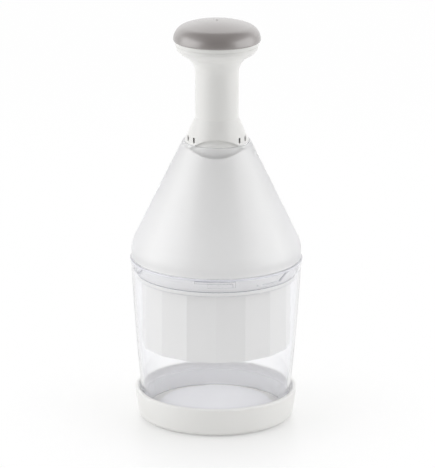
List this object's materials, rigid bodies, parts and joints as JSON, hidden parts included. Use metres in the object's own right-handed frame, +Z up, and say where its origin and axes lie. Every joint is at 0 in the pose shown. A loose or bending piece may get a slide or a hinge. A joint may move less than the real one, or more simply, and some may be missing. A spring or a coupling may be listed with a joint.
{
  "type": "plunger food chopper",
  "caption": "Hand food chopper: a domed plunger drives a turning zigzag blade through a guard cup into a clear beaker that stands on a white dish.",
  "frame": {"origin": "centre of the underside, on the table", "axes": "+Z up along the plunger's axis, -Y is the front"},
  "size_m": [0.1014, 0.1014, 0.2393],
  "materials": {
    "white_plastic": "smooth satin gloss, moulded",
    "clear_plastic": "clear, polished",
    "frosted_plastic": "fine matt",
    "cap_grey": "soft satin",
    "soft_grey": "soft matt",
    "steel": "turned",
    "spring_steel": "drawn wire",
    "blade_steel": "polished sheet"
  },
  "bodies": {
    "base": {"base_dish": "white_plastic", "foot_ring": "soft_grey", "chopping_pad": "frosted_plastic"},
    "beaker": {"beaker": "clear_plastic"},
    "housing": {"outer_cone": "clear_plastic", "inner_bell": "white_plastic", "blade_guard_cup": "white_plastic", "guide_tube": "white_plastic", "guide_screws": "steel", "index_sleeve": "white_plastic", "bumper_ring": "soft_grey", "spring_lower_washer": "steel", "return_spring": "spring_steel"},
    "plunger": {"handle_neck": "white_plastic", "cap_plate": "white_plastic", "grip_cap": "cap_grey", "plate_screws": "steel", "spring_upper_washer": "steel"},
    "blade_unit": {"drive_shaft": "steel", "shaft_clip": "spring_steel", "follower_pin": "steel", "blade_carrier": "white_plastic", "zigzag_blade": "blade_steel", "carrier_screw": "steel"},
    "wiper": {"wiper_disc": "white_plastic"}
  },
  "joints": [
    {"name": "beaker_lift", "type": "slide", "parent": "base", "child": "beaker", "axis": [0, 0, 1], "range_m": [0, 0.03]},
    {"name": "housing_twist", "type": "hinge", "parent": "beaker", "child": "housing", "pos_m": [0, 0, 0.0974], "axis": [0, 0, -1], "range_deg": [0, 30]},
    {"name": "plunger_slide", "type": "slide", "parent": "housing", "child": "plunger", "axis": [0, 0, -1], "range_m": [0, 0.04], "stiffness_N_per_m": 300, "springref_m": -0.015, "deforming": ["return_spring"]},
    {"name": "blade_index", "type": "hinge", "parent": "plunger", "child": "blade_unit", "pos_m": [0, 0, 0.089], "axis": [0, 0, 1], "range_deg": [0, 30]},
    {"name": "wiper_turn", "type": "hinge", "parent": "housing", "child": "wiper", "pos_m": [0, 0, 0.0466], "axis": [0, 0, 1], "range_deg": [0, 30]}
  ],
  "couplings": [
    {"joint": "blade_index", "follows": "plunger_slide", "rad_per_m": 13.09},
    {"joint": "wiper_turn", "follows": "plunger_slide", "rad_per_m": 13.09}
  ]
}
